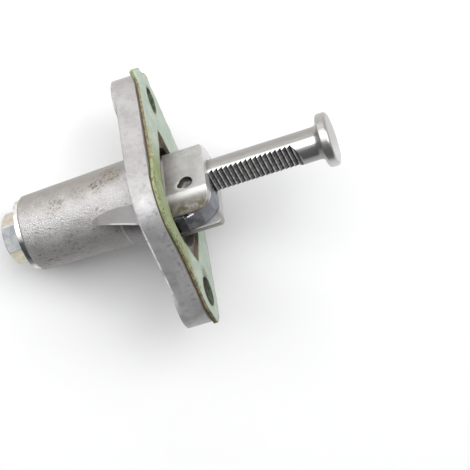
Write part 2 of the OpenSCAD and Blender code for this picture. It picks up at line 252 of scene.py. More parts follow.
class Finish:
    """Lays out one material's nodes, with the piece's own coordinates in millimetres and named tones."""

    def __init__(self, name, tones):
        self.tones = tones
        self.material = bpy.data.materials.new(name)
        self.material.use_nodes = True
        self.tree = self.material.node_tree
        self.shader = self.tree.nodes["Principled BSDF"]
        coords = self.node("ShaderNodeTexCoord").outputs["Object"]
        scaled = self.node("ShaderNodeVectorMath", {0: coords, "Scale": 1 / MM}, operation="SCALE")
        self.place = scaled.outputs["Vector"]
        self.x, self.y, self.z = self.node("ShaderNodeSeparateXYZ", {0: self.place}).outputs

    def node(self, kind, inputs=None, **settings):
        return add_node(self.tree, kind, inputs, **settings)

    def math(self, operation, a, b=0.0, c=0.0):
        return add_math(self.tree, operation, a, b, c)

    def vector(self, operation, a, b):
        return self.node("ShaderNodeVectorMath", {0: a, 1: b}, operation=operation).outputs

    def both(self, *masks):
        """Product of the masks: up where all of them are."""
        out = masks[0]
        for mask in masks[1:]:
            out = self.math("MULTIPLY", out, mask)
        return out

    def either(self, *masks):
        """Greatest of the masks."""
        out = masks[0]
        for mask in masks[1:]:
            out = self.math("MAXIMUM", out, mask)
        return out

    def total(self, *terms):
        """Sum of (value, weight) pairs."""
        out = self.both(*terms[0])
        for value, weight in terms[1:]:
            out = self.math("MULTIPLY_ADD", value, weight, out)
        return out

    def flip(self, mask):
        return self.math("SUBTRACT", 1.0, mask)

    def step(self, value, start, end, low=0.0, high=1.0):
        return smooth_step(self.tree, value, start, end, low, high)

    def between(self, value, start, full, fading, end):
        """Mask that rises from start to full and falls from fading to end."""
        return self.both(self.step(value, start, full), self.step(value, end, fading))

    def along(self, direction, offset):
        """Distance in that direction, beyond the offset."""
        return self.math("SUBTRACT", self.vector("DOT_PRODUCT", self.place, direction)["Value"], offset)

    def out(self):
        """Distance from the plunger's axis towards the pawl."""
        return self.along(RACK_OUT, AXIS_UP * RACK_OUT.y)

    def hypot(self, a, b):
        return self.math("SQRT", self.total((a, a), (b, b)))

    def radius(self):
        """Distance from the plunger's axis."""
        return self.hypot(self.math("SUBTRACT", self.y, AXIS_UP), self.z)

    def shaft(self, x, out, reach, soft=0.06):
        """Mask of what lies within a round shaft along the pawl's pin."""
        away = self.hypot(self.math("SUBTRACT", self.x, x), self.math("SUBTRACT", self.out(), out))
        return self.step(away, reach + soft, reach)

    def round_x(self, y, reach, soft=0.06):
        """Mask of what lies within a round hole along the plunger's direction."""
        return self.step(self.hypot(self.math("SUBTRACT", self.y, y), self.z), reach + soft, reach)

    def near(self, point, reach, soft):
        """Mask of what lies within reach of a point."""
        return self.step(self.vector("DISTANCE", self.place, point)["Value"], reach + soft, reach)

    def stretch(self, factors):
        return self.vector("MULTIPLY", self.place, factors)["Vector"]

    def noise(self, scale, detail=3.0, rough=0.55, source=None, warp=0.0):
        return self.node("ShaderNodeTexNoise", {
            "Vector": self.place if source is None else source,
            "Scale": scale,
            "Detail": detail,
            "Roughness": rough,
            "Distortion": warp,
        }).outputs["Fac"]

    def attribute(self, name):
        return self.node("ShaderNodeAttribute", attribute_name=name).outputs["Fac"]

    def mix(self, factor, a, b):
        """Mixes two colours, each a socket or the name of one of the finish's tones."""
        node = self.node("ShaderNodeMix", {"Factor": factor}, data_type="RGBA")
        for name, value in (("A", a), ("B", b)):
            paint = (*self.tones[value], 1.0) if isinstance(value, str) else value
            feed(self.tree, of_type(node.inputs, "RGBA", name), paint)
        return of_type(node.outputs, "RGBA")

    def coat(self, colour, tone, *masks):
        """Lays a tone or a second colour over the colour where all the masks are up."""
        return self.mix(self.both(*masks), colour, tone)

    def bevel(self, radius_mm):
        return self.node("ShaderNodeBevel", {"Radius": radius_mm * MM}, samples=6).outputs["Normal"]

    def facing(self, direction):
        """How squarely the surface faces a direction, one where it does."""
        normal = self.node("ShaderNodeNewGeometry").outputs["Normal"]
        return self.vector("DOT_PRODUCT", normal, direction)["Value"]

    def worn_edge(self, rounded, start=0.995, end=0.93):
        """Mask of the edges, where the rounded normal leaves the surface's own."""
        return self.step(self.facing(rounded), start, end)

    def bump(self, height, depth_mm, strength, under=None):
        inputs = {"Strength": strength, "Distance": depth_mm * MM, "Height": height}
        if under is not None:
            inputs["Normal"] = under
        return self.node("ShaderNodeBump", inputs).outputs["Normal"]

    def done(self, colour, rough, metallic, normal):
        values = {"Base Color": colour, "Roughness": rough, "Metallic": metallic, "Normal": normal}
        for name, value in values.items():
            feed(self.tree, self.shader.inputs[name], value)
        return self.material


CAST_TONES = {
    "dull": (0.42, 0.405, 0.395),
    "clean": (0.5, 0.49, 0.485),
    "grain": (0.3, 0.288, 0.28),
    "sparkle": (0.78, 0.77, 0.77),
    "corner_painted_highlight": (0.85, 0.845, 0.86),
    "rim_painted_light": (0.8, 0.79, 0.8),
    "rim_mottle": (0.3, 0.288, 0.288),
    "rim_stain": (0.16, 0.11, 0.075),
    "barrel_painted_highlight": (0.85, 0.84, 0.85),
    "rib": (0.7, 0.68, 0.67),
    "barrel_top_stain_and_shade": (0.25, 0.226, 0.193),
    "barrel_tan": (0.3, 0.25, 0.195),
    "underside_painted_shade": (0.2, 0.192, 0.185),
    "pore": (0.15, 0.138, 0.125),
    "oil_fleck": (0.1, 0.078, 0.055),
    "oil_haze": (0.3, 0.25, 0.19),
    "spot": (0.075, 0.07, 0.062),
    "rib_painted_shade": (0.07, 0.066, 0.066),
    "relief_painted_shade": (0.1, 0.08, 0.065),
    "relief_painted_light": (0.7, 0.675, 0.64),
    "boss_flat_painted_light": (0.82, 0.81, 0.79),
    "flat_mottle": (0.34, 0.322, 0.295),
    "gasket_soil": (0.2, 0.145, 0.11),
    "cheek": (0.18, 0.174, 0.158),
    "cheek_edge_highlight": (0.88, 0.87, 0.86),
    "boss_face_painted_light": (0.88, 0.87, 0.87),
    "boss_film": (0.1, 0.08, 0.045),
    "boss_root": (0.26, 0.225, 0.17),
    "worn_edge": (0.8, 0.79, 0.78),
    "scuff": (0.85, 0.82, 0.76),
    "pin_hole_painted_shade": (0.035, 0.032, 0.03),
    "bolt_hole_painted_shade": (0.045, 0.052, 0.04),
    "bolt_hole_green": (0.1, 0.15, 0.095),
    "bolt_hole_brown": (0.19, 0.15, 0.115),
    "edge_highlight": (0.97, 0.97, 0.97),
}


class CastingZones:
    """Masks of the casting's areas, and the noises and distances that several of them share."""

    def __init__(self, f):
        self.blotch = f.noise(0.22, 4, 0.6)
        self.grain = f.noise(2.3, 4, 0.65)
        self.speck = f.noise(4.4, 2, 0.6)
        self.mottle = f.noise(0.55, 5, 0.7, warp=0.3)
        self.radius = f.radius()
        self.out = f.out()
        # before the flange's face, the flange's rim, the near rib behind it, and the barrel
        self.front = f.step(f.x, -0.1, 0.1)
        behind = f.step(f.x, -5.2, -6.4)
        self.rim = f.both(f.flip(self.front), f.flip(behind))
        self.rib = f.both(f.step(f.z, 9.6, 10.4), behind)
        self.barrel = f.both(behind, f.flip(self.rib))
        # distance below the near rib's lower edge, which slopes along the barrel
        self.below = f.math("SUBTRACT", f.math("MULTIPLY_ADD", f.x, RIB_SLOPE, RIB_LOW), f.y)
        # the boss: distance towards its near flat, its near side, that flat, and the relief round it
        self.flatward = f.along(FLAT_OUT, AXIS_UP * FLAT_OUT.y)
        self.nearside = f.step(self.flatward, -0.5, 0.5)
        self.flat = f.both(self.front, f.step(f.facing(FLAT_OUT), 0.9, 0.97))
        self.relief = f.both(f.between(f.x, -2.9, -2.3, -0.05, 0.15), f.step(self.radius, 13.6, 12.6))
        # dark pores, thickest along the barrel's lower side
        pitted = f.step(f.noise(1.3, 3, 0.6), 0.6, 0.68)
        self.pores = f.both(pitted, self.barrel, f.step(f.y, 6.0, -4.0, 0.2, 1.0))


def lay_raw_casting(f, zone):
    colour = f.mix(f.step(zone.blotch, 0.36, 0.66), "dull", "clean")
    colour = f.coat(colour, "grain", f.step(zone.grain, 0.5, 0.72), 0.35)
    sparkle = f.step(zone.speck, 0.56, 0.66)
    return f.coat(colour, "sparkle", sparkle, f.step(f.x, -3.0, -6.0, 0.15, 0.6))


def rim_stains_and_light(f, zone, colour):
    # a painted highlight on the widest corner
    painted_glint = f.near((-2.5, -1.2, 18.6), 0.6, 3.6)
    colour = f.coat(colour, "corner_painted_highlight", zone.rim, painted_glint, 0.65)
    # and painted light makes the lower half paler, down to the bolt hole
    painted_lower_light = f.between(f.y, -36.0, -20.0, -4.0, -1.0)
    colour = f.coat(colour, "rim_painted_light", zone.rim, painted_lower_light, 0.45)
    colour = f.coat(colour, "rim_mottle", zone.rim, f.step(zone.mottle, 0.46, 0.66), 0.34)
    # brown stains by the gasket, fainter towards the top
    stain = f.both(f.step(f.x, -2.2, -0.4), f.step(f.noise(1.1, 4, 0.7), 0.54, 0.66))
    return f.coat(colour, "rim_stain", zone.rim, stain, f.step(f.y, 14.0, 6.0, 0.3, 1.0), 0.5)


def barrel_stains_light_and_shade(f, zone, colour):
    # a painted highlight band along the barrel's middle, and painted light on the paler near rib
    colour = f.coat(colour, "barrel_painted_highlight", zone.barrel, f.between(f.y, 0.5, 3.0, 5.0, 7.2), 0.2)
    colour = f.coat(colour, "rib", zone.rib, 0.5)
    # a darker brownish top, partly a stain and partly painted shade, tan patches under it, and painted shade
    # along the lower side
    colour = f.coat(colour, "barrel_top_stain_and_shade", zone.barrel, f.step(f.y, 6.4, 9.4), 0.55)
    tan = f.both(f.step(f.y, 4.6, 6.6), f.step(f.x, -9.0, -14.0), f.step(zone.mottle, 0.4, 0.6))
    colour = f.coat(colour, "barrel_tan", zone.barrel, tan, 0.3)
    colour = f.coat(colour, "underside_painted_shade", zone.barrel, f.step(f.y, -0.5, -5.0), 0.4)
    colour = f.coat(colour, "pore", zone.pores, 0.7)
    # brown oil flecks on the top by the flange, and fainter ones farther back
    fleck = f.step(f.noise(1.5, 4, 0.7, warp=0.5), 0.5, 0.6)
    oiled = f.either(
        f.near((-10.8, 8.6, 6.1), 1.2, 2.2),
        f.near((-14.0, 7.4, 7.2), 0.8, 2.2),
        f.both(f.near((-18.6, 6.6, 7.4), 0.6, 2.8), 0.4),
        f.both(f.near((-24.2, 5.6, 7.8), 0.8, 2.6), 0.75),
    )
    colour = f.coat(colour, "oil_fleck", oiled, fleck, 0.85)
    colour = f.coat(colour, "oil_haze", oiled, 0.25)
    # dark spots along the lower side
    spotted = f.either(
        f.both(f.near((-21.5, -3.8, 7.0), 1.4, 3.6), 0.8),
        f.near((-27.5, -4.8, 5.4), 1.6, 3.4),
    )
    spot = f.step(f.noise(1.1, 3, 0.6), 0.55, 0.63)
    colour = f.coat(colour, "spot", spotted, spot, 0.6)
    # painted shade in the corner under the near rib
    corner = f.both(f.between(zone.below, -0.15, 0.1, 0.2, 3.2), f.step(f.x, -16.5, -9.0))
    corner = f.both(corner, f.step(f.z, 1.0, 3.0), f.flip(zone.front))
    return f.coat(colour, "rib_painted_shade", corner, f.step(zone.radius, 11.5, 10.0), 0.75)


def boss_stains_light_and_shade(f, zone, colour):
    # painted shade in the relief round the boss, and painted light on its near side, where the relief lies
    # in shadow
    beside_flat = f.both(f.step(zone.flatward, 4.2, 5.4), f.step(f.y, 9.0, 7.8))
    painted_lit_side = f.either(f.step(f.z, 6.0, 8.5), beside_flat)
    relief_light_and_shade = f.mix(painted_lit_side, "relief_painted_shade", "relief_painted_light")
    colour = f.coat(colour, relief_light_and_shade, zone.relief, f.step(zone.blotch, 0.2, 0.7, 0.75, 0.97))
    # painted light: the machined flat is lightened
    colour = f.coat(colour, "boss_flat_painted_light", zone.flat, 0.15)
    colour = f.coat(colour, "flat_mottle", zone.flat, f.step(zone.mottle, 0.44, 0.64), 0.35)
    # soil left by the gasket on the machined face, seen in the opening's points
    stained = f.both(f.between(f.x, -0.25, -0.1, 0.05, 0.15), f.step(zone.radius, 11.6, 12.6))
    colour = f.coat(colour, "gasket_soil", stained, f.between(f.z, -6.0, -4.0, 6.0, 8.0), 0.8)
    # the cheek is painted darker, and a painted highlight runs along its upper edge
    off_flat = f.both(zone.front, f.flip(zone.flat))
    cheek = f.both(off_flat, f.step(zone.out, 7.2, 8.4))
    colour = f.coat(colour, "cheek", cheek, f.step(zone.nearside, 0.0, 1.0, 0.78, 0.8))
    painted_glint = f.both(off_flat, zone.nearside, f.between(zone.out, 6.5, 6.8, 7.0, 7.8))
    colour = f.coat(colour, "cheek_edge_highlight", painted_glint, 0.4)
    # painted light on the boss's front face, strongest on its near side
    face = f.both(f.step(f.x, 7.6, 8.4), f.step(f.facing((1, 0, 0)), 0.4, 0.8))
    colour = f.coat(colour, "boss_face_painted_light", face, f.step(zone.nearside, 0.0, 1.0, 0.15, 0.6))
    # brown film over the cheek, and darker brown patches round the boss's root
    film = f.both(f.step(zone.out, 7.2, 9.6), f.step(f.noise(0.9, 4, 0.7), 0.34, 0.6))
    colour = f.coat(colour, "boss_film", zone.front, zone.nearside, film, 0.9)
    soil = f.both(f.step(f.x, 3.2, 0.4), f.step(f.noise(0.9, 3, 0.6), 0.35, 0.6))
    return f.coat(colour, "boss_root", zone.front, soil, 0.25)


def hole_scuffs_and_shade(f, zone, colour):
    # scuffed pale round the stake mark; painted shade inside it and inside the pin's hole
    scuff = f.shaft(STAKE_X, STAKE_OUT, 0.8 * PIN_R, 0.7)
    colour = f.coat(colour, "scuff", scuff, zone.front, zone.nearside, 0.6)
    hole = f.either(f.shaft(PIN_X, PIN_OUT, 1.2 * PIN_R), f.shaft(STAKE_X, STAKE_OUT, 0.64 * PIN_R))
    colour = f.coat(colour, "pin_hole_painted_shade", hole, 0.9)
    # painted shade, dark with green patches, inside the two bolt holes, and browner in the lower one's upper
    # half
    bolt_hole_shade_and_tint = f.mix(f.step(zone.mottle, 0.42, 0.58), "bolt_hole_painted_shade", "bolt_hole_green")
    browned = f.between(f.y, -0.4 - HOLE_HALF, 1.6 - HOLE_HALF, -1.0, 1.0)
    bolt_hole_shade_and_tint = f.coat(bolt_hole_shade_and_tint, "bolt_hole_brown", browned, 0.8)
    for end in (-1, 1):
        bolt = f.both(f.round_x(end * HOLE_HALF, HOLE_R + 0.04), f.step(f.x, -6.5, -5.0))
        colour = f.coat(colour, bolt_hole_shade_and_tint, bolt, 0.85)
    return colour


def casting_edge_highlights(f, zone):
    """Mask of thin painted highlights along the flange's lower back edge and the near rib's lower edge."""
    back = f.between(f.x, -0.15 - FLANGE_T, -FLANGE_T, 0.25 - FLANGE_T, 0.5 - FLANGE_T)
    back = f.both(back, f.between(f.y, -25.0, -19.0, -5.0, -2.5), f.step(f.z, 2.0, 4.0))
    back = f.both(back, f.step(f.noise(0.5, 3, 0.6), 0.38, 0.6, 0.15, 0.9))
    rib = f.both(zone.rib, f.between(zone.below, -0.5, -0.3, 0.05, 0.15), f.step(f.x, -13.5, -11.5))
    return f.either(back, f.both(rib, 0.8))


def cast_aluminium():
    f = Finish("cast_aluminium", CAST_TONES)
    zone = CastingZones(f)
    colour = lay_raw_casting(f, zone)
    colour = rim_stains_and_light(f, zone, colour)
    colour = barrel_stains_light_and_shade(f, zone, colour)
    colour = boss_stains_light_and_shade(f, zone, colour)
    # edges are rubbed, less along the rim
    rounded = f.bevel(0.4)
    share = f.math("MULTIPLY_ADD", zone.rim, -0.35, 0.5)
    colour = f.coat(colour, "worn_edge", f.worn_edge(rounded), f.flip(zone.relief), share)
    colour = hole_scuffs_and_shade(f, zone, colour)
    # painted highlights along those edges, white and barely metallic
    edge_highlight = casting_edge_highlights(f, zone)
    colour = f.coat(colour, "edge_highlight", edge_highlight)
    # the raw casting's grain, coarsest on the barrel, and cutter lines across the boss
    grain = f.total((zone.grain, 0.75), (zone.speck, 0.6), (zone.pores, -0.6))
    coarse = f.total((zone.barrel, 1.0), (zone.rim, 0.3), (zone.rib, 0.25))
    lines = f.noise(1.0, 2, 0.5, f.stretch((8.0, 0.35, 0.35)))
    height = f.total((grain, coarse), (zone.front, f.math("MULTIPLY", lines, 0.16)))
    normal = f.bump(height, 0.3, 0.8, rounded)
    gloss = f.total((f.step(zone.blotch, 0.3, 0.7, 0.4, 0.5), 1.0), (zone.rim, 0.14))
    return f.done(colour, gloss, f.step(edge_highlight, 0.0, 1.0, 0.85, 0.1), normal)


PLUNGER_TONES = {
    "dull": (0.38, 0.368, 0.352),
    "bright": (0.49, 0.477, 0.461),
    "soil": (0.28, 0.262, 0.235),
    "rod_top_reflection": (0.27, 0.256, 0.238),
    "rod_bottom_reflection": (0.26, 0.258, 0.258),
    "rod_highlight_stripe": (0.85, 0.845, 0.84),
    "rod_bluish_reflection": (0.56, 0.565, 0.61),
    "head": (0.7, 0.69, 0.68),
    "flank_dark": (0.1, 0.098, 0.1),
    "flank_pale": (0.24, 0.232, 0.23),
    "root": (0.02, 0.02, 0.022),
    "tooth_crest_highlight": (0.85, 0.84, 0.83),
    "worn_edge": (0.7, 0.69, 0.68),
}


def plunger_steel():
    f = Finish("plunger_steel", PLUNGER_TONES)
    # the rack's flanks lie inside the rod's round
    inside = f.both(f.step(f.radius(), 3.55, 3.5), f.step(f.out(), 0.9, 1.05))
    rack = f.both(inside, f.between(f.x, 1.6, 2.0, RACK_FRONT + 1.2, RACK_FRONT + 1.6))
    streak = f.noise(1.0, 3, 0.6, f.stretch((0.25, 5.0, 5.0)))
    turned = f.noise(1.0, 2, 0.5, f.stretch((9.0, 0.3, 0.3)))
    soil = f.noise(1.4, 4, 0.6)
    colour = f.mix(f.step(streak, 0.35, 0.7), "dull", "bright")
    colour = f.coat(colour, "soil", f.step(soil, 0.54, 0.7), 0.4)
    # along the rod, painted reflections: darker above and below, a bright highlight stripe, and bluish under
    # that
    rise = f.math("SUBTRACT", f.y, AXIS_UP)
    rod = f.step(f.x, HEAD_BACK + 0.3, HEAD_BACK - 0.7)
    colour = f.coat(colour, "rod_top_reflection", rod, f.step(rise, 0.9, 1.6), 0.5)
    colour = f.coat(colour, "rod_bottom_reflection", rod, f.step(rise, -1.8, -2.6), 0.6)
    colour = f.coat(colour, "rod_highlight_stripe", rod, f.between(rise, -0.3, 0.2, 1.1, 1.6), 0.7)
    colour = f.coat(colour, "rod_bluish_reflection", rod, f.between(rise, -2.4, -1.9, -0.6, -0.2), 0.5)
    # painted light: the head is brighter towards its lower side
    colour = f.coat(colour, "head", f.flip(rod), f.step(rise, 0.5, -3.5), 0.55)
    # each tooth gets a painted highlight along its crest and painted shade down to its root
    turn = f.math("FRACT", f.math("DIVIDE", f.math("SUBTRACT", f.x, RACK_BACK), TOOTH_PITCH))
    flank = f.mix(f.step(soil, 0.35, 0.65), "flank_dark", "flank_pale")
    flank = f.coat(flank, "root", f.step(turn, 0.45, 0.85))
    patchy = f.step(f.noise(0.9, 3), 0.34, 0.6, 0.2, 0.8)
    flank = f.coat(flank, "tooth_crest_highlight", f.step(turn, 0.3, 0.08), patchy)
    colour = f.coat(colour, flank, rack)
    rounded = f.bevel(0.1)
    worn = f.worn_edge(rounded, 0.99, 0.9)
    colour = f.coat(colour, "worn_edge", worn, f.flip(rack), 0.6)
    gloss = f.total((f.step(streak, 0.3, 0.7, 0.3, 0.38), 1.0), (rack, 0.12))
    height = f.total((turned, 0.6), (streak, 0.4))
    return f.done(colour, gloss, 1.0, f.bump(height, 0.012, 0.6, rounded))


PAWL_TONES = {
    "dark": (0.095, 0.1, 0.12),
    "light": (0.23, 0.215, 0.225),
    "front": (0.31, 0.33, 0.37),
    "rear": (0.27, 0.295, 0.325),
    "worn_edge": (0.5, 0.5, 0.52),
}


def pawl_steel():
    f = Finish("pawl_steel", PAWL_TONES)
    cloud = f.noise(0.6, 4, 0.6)
    grain = f.noise(4.0, 3, 0.6)
    colour = f.mix(f.step(cloud, 0.38, 0.64), "dark", "light")
    colour = f.coat(colour, "front", f.step(f.x, 3.0, 8.5), 0.55)
    # painted light on the rear end, lightened where it lies in shade
    colour = f.coat(colour, "rear", f.step(f.x, 2.0, 0.4))
    rounded = f.bevel(0.2)
    colour = f.coat(colour, "worn_edge", f.worn_edge(rounded), 0.5)
    normal = f.bump(grain, 0.05, 0.5, rounded)
    return f.done(colour, f.step(cloud, 0.3, 0.7, 0.32, 0.5), 0.9, normal)


PIN_TONES = {
    "dark": (0.15, 0.145, 0.14),
    "light": (0.46, 0.45, 0.44),
}


def pin_steel():
    f = Finish("pin_steel", PIN_TONES)
    cloud = f.noise(1.2, 3, 0.6)
    colour = f.mix(f.step(cloud, 0.38, 0.6), "dark", "light")
    normal = f.bump(f.noise(5.0, 2), 0.04, 0.5, f.bevel(0.12))
    return f.done(colour, f.step(cloud, 0.3, 0.7, 0.35, 0.55), 0.9, normal)


WIRE_TONES = {
    "dull": (0.4, 0.4, 0.41),
    "bright": (0.62, 0.62, 0.63),
}


def spring_wire():
    f = Finish("spring_wire", WIRE_TONES)
    cloud = f.noise(1.0, 3, 0.6)
    colour = f.mix(f.step(cloud, 0.35, 0.65), "dull", "bright")
    normal = f.bump(f.noise(8.0, 2), 0.01, 0.5)
    return f.done(colour, f.step(cloud, 0.3, 0.7, 0.2, 0.34), 1.0, normal)


PLATED_TONES = {
    "near_bluish": (0.28, 0.305, 0.34),
    "near_grey": (0.42, 0.42, 0.41),
    "upper_flat_light": (0.6, 0.545, 0.45),
    "upper_flat_tan_light": (0.52, 0.46, 0.37),
    "lower_flat_reflection": (0.78, 0.755, 0.62),
    "lower_flat_yellow_reflection": (0.66, 0.62, 0.47),
    "mottle": (0.36, 0.35, 0.34),
    "worn_edge": (0.85, 0.84, 0.8),
}


def plated_steel():
    f = Finish("plated_steel", PLATED_TONES)
    cloud = f.step(f.noise(0.5, 4, 0.6, warp=0.4), 0.36, 0.62)
    mottle = f.noise(1.6, 4, 0.65)
    # the flats are painted with light and reflections: bluish on the near flat, a lighter tan on the upper
    # one and a pale yellow reflection on the lower one
    colour = f.mix(cloud, "near_bluish", "near_grey")
    upper = f.step(f.facing((0, HEX_SIDE, 0.5)), 0.86, 0.96)
    colour = f.coat(colour, f.mix(cloud, "upper_flat_light", "upper_flat_tan_light"), upper)
    lower = f.step(f.facing((0, -HEX_SIDE, 0.5)), 0.86, 0.96)
    colour = f.coat(colour, f.mix(cloud, "lower_flat_reflection", "lower_flat_yellow_reflection"), lower)
    colour = f.coat(colour, "mottle", f.step(mottle, 0.54, 0.66), 0.4)
    rounded = f.bevel(0.25)
    colour = f.coat(colour, "worn_edge", f.worn_edge(rounded), 0.5)
    normal = f.bump(mottle, 0.06, 0.5, rounded)
    return f.done(colour, f.step(mottle, 0.3, 0.7, 0.28, 0.44), 0.7, normal)


WASHER_TONES = {
    "yellowed": (0.78, 0.765, 0.69),
    "bright": (0.9, 0.89, 0.85),
    "fleck": (0.35, 0.31, 0.25),
    "dark": (0.13, 0.145, 0.14),
    "upper": (0.42, 0.41, 0.36),
}


def washer_metal():
    f = Finish("washer_metal", WASHER_TONES)
    cloud = f.noise(0.7, 4, 0.6)
    rings = f.noise(1.0, 2, 0.5, f.stretch((7.0, 0.4, 0.4)))
    colour = f.mix(f.step(cloud, 0.36, 0.64), "yellowed", "bright")
    colour = f.coat(colour, "fleck", f.step(f.noise(2.2, 3), 0.6, 0.7), 0.4)
    # painted reflections: a dark stretch low on the rim, and a darker upper part
    dark = f.between(f.y, -5.6, -4.2, -0.2, 1.4)
    colour = f.coat(colour, "dark", dark, f.step(cloud, 0.3, 0.6, 0.97, 0.85))
    colour = f.coat(colour, "upper", f.step(f.y, 4.2, 6.0), f.step(cloud, 0.36, 0.6, 0.7, 0.3))
    normal = f.bump(rings, 0.03, 0.5, f.bevel(0.2))
    return f.done(colour, f.step(cloud, 0.3, 0.7, 0.26, 0.4), 0.85, normal)


PAPER_TONES = {
    "green": (0.375, 0.46, 0.385),
    "pale": (0.47, 0.52, 0.44),
    "fibre": (0.57, 0.61, 0.535),
    "soaked": (0.265, 0.315, 0.13),
    "shaded_crease": (0.2, 0.27, 0.19),
    "scuff": (0.14, 0.1, 0.06),
    "oiled_edge": (0.25, 0.275, 0.12),
    "cut_olive_dark": (0.17, 0.2, 0.085),
    "cut_olive": (0.3, 0.345, 0.17),
    "cut_tan_dark": (0.14, 0.105, 0.055),
    "cut_tan": (0.27, 0.23, 0.125),
    "cut_dark_flange_side": (0.07, 0.052, 0.03),
    "hole_shade_dark": (0.045, 0.06, 0.042),
    "hole_shade_green": (0.12, 0.15, 0.1),
    "point_soil": (0.22, 0.17, 0.125),
}


def gasket_cut(f, patch):
    """Colour of the cut edge: dark brown against the flange, then olive or tan; dark green painted shade in
    the holes and round the opening.
    """
    patchy = f.step(patch, 0.4, 0.6)
    cut = f.mix(patchy, "cut_olive_dark", "cut_olive")
    tanned = f.either(f.between(f.y, 7.0, 10.0, 25.0, 27.2), f.step(f.y, -9.0, -12.0))
    cut = f.coat(cut, f.mix(patchy, "cut_tan_dark", "cut_tan"), tanned)
    cut = f.coat(cut, "cut_dark_flange_side", f.step(f.x, 0.42, 0.24), f.step(f.y, 27.2, 25.6))
    middle = (GASKET_T / 2, -OPENING_DROP, OPENING_Z)
    points = f.step(f.math("ABSOLUTE", f.math("SUBTRACT", f.z, OPENING_Z)), 7.0, 6.0)
    inner = f.either(f.near(middle, OPENING_R + 0.6, 0.4), f.both(points, f.near(middle, 16.2, 0.5)))
    for end in (-1, 1):
        inner = f.either(inner, f.near((GASKET_T / 2, end * HOLE_HALF, 0), HOLE_R + 0.5, 0.3))
    cut = f.coat(cut, f.mix(patchy, "hole_shade_dark", "hole_shade_green"), inner)
    # brown soil in the opening's points
    soiled = f.both(points, f.between(f.math("ABSOLUTE", f.y), 9.5, 12.0, 16.6, 17.4))
    return f.coat(cut, "point_soil", soiled, f.step(patch, 0.3, 0.55, 0.6, 1.0))


def gasket_paper():
    f = Finish("gasket_paper", PAPER_TONES)
    to_edge = f.attribute("to_edge")
    fibre = f.noise(3.5, 4, 0.7)
    cloud = f.noise(0.35, 4, 0.6)
    patch = f.noise(1.1, 3, 0.6)
    colour = f.mix(f.step(cloud, 0.36, 0.66), "green", "pale")
    colour = f.coat(colour, "fibre", f.step(fibre, 0.52, 0.68), 0.4)
    # the near side, beside the boss, is soaked olive in stripes along the edge
    stripe = f.noise(0.5, 3, 0.6, f.stretch((1.0, 0.35, 2.4)))
    soaked = f.both(f.step(f.z, 5.0, 10.0), f.step(f.y, 15.0, 8.0))
    colour = f.coat(colour, "soaked", soaked, f.step(stripe, 0.36, 0.62, 0.45, 1.0))
    # painted shade in the creases, which the bump also presses in
    shaded_crease = f.step(f.noise(0.9, 3, 0.6, warp=1.2), 0.58, 0.68)
    colour = f.coat(colour, "shaded_crease", shaded_crease, 0.4)
    # brown scuffs above the lower bolt hole
    scuffed = f.near((GASKET_T, 3.4 - HOLE_HALF, -1.2), 0.8, 2.2)
    colour = f.coat(colour, "scuff", scuffed, f.step(fibre, 0.38, 0.54), 0.9)
    # oil along the cut edges, in ragged patches
    ragged = f.total((to_edge, 1.0), (patch, -1.1))
    colour = f.coat(colour, "oiled_edge", f.step(ragged, 0.1, -0.35), 0.5)
    side = f.step(f.math("ABSOLUTE", f.facing((1, 0, 0))), 0.6, 0.4)
    colour = f.coat(colour, gasket_cut(f, patch), side, 0.95)
    height = f.total((fibre, 0.5), (shaded_crease, -0.5))
    return f.done(colour, f.step(fibre, 0.3, 0.7, 0.62, 0.8), 0.0, f.bump(height, 0.1, 0.6))


SEALANT_TONES = {
    "brown": (0.3, 0.26, 0.11),
    "yellow": (0.6, 0.58, 0.33),
    "soaked": (0.16, 0.115, 0.06),
}


def dried_sealant():
    f = Finish("dried_sealant", SEALANT_TONES)
    cloud = f.noise(1.6, 3, 0.6)
    colour = f.mix(f.step(cloud, 0.36, 0.64), "brown", "yellow")
    # browner with oil towards the lower end
    colour = f.coat(colour, "soaked", f.step(f.y, 9.0, 2.0), f.step(cloud, 0.3, 0.6, 0.95, 0.6))
    normal = f.bump(f.noise(4.0, 3), 0.08, 0.6)
    return f.done(colour, f.step(cloud, 0.3, 0.7, 0.5, 0.7), 0.0, normal)


# gasket

def from_middle(angle, reach):
    """Place along and across the bolt line, from the opening's middle."""
    return reach * math.sin(angle) - OPENING_DROP, OPENING_Z + reach * math.cos(angle)


def uneven(a, b, pitch, layer, height):
    return height * noise.noise(Vector((a * pitch, b * pitch, layer)))


def whole_reach(angle):
    """Distance from the opening's middle to the whole gasket's edge: end and side circles with tangents."""
    run = math.hypot(GASKET_SIDE_Z, HOLE_HALF)
    lean = math.acos((GASKET_END_R - GASKET_SIDE_R) / run) - math.atan2(HOLE_HALF, GASKET_SIDE_Z)
    # the slanted side's outward direction and distance from the flange's middle
    out_z, out_y = math.cos(lean), math.sin(lean)
    side_reach = HOLE_HALF * out_y + GASKET_END_R

    def outside(y, z):
        y, z = abs(y), abs(z)
        run_along = -out_y * z + out_z * y
        if run_along < -out_y * GASKET_SIDE_Z:
            return math.hypot(y, z - GASKET_SIDE_Z) - GASKET_SIDE_R
        if run_along > out_z * HOLE_HALF:
            return math.hypot(y - HOLE_HALF, z) - GASKET_END_R
        return out_z * z + out_y * y - side_reach

    low, high = 0.0, REACH_LONGEST
    for _ in range(REACH_HALVINGS):
        middle = (low + high) / 2
        if outside(*from_middle(angle, middle)) < 0:
            low = middle
        else:
            high = middle
    return low


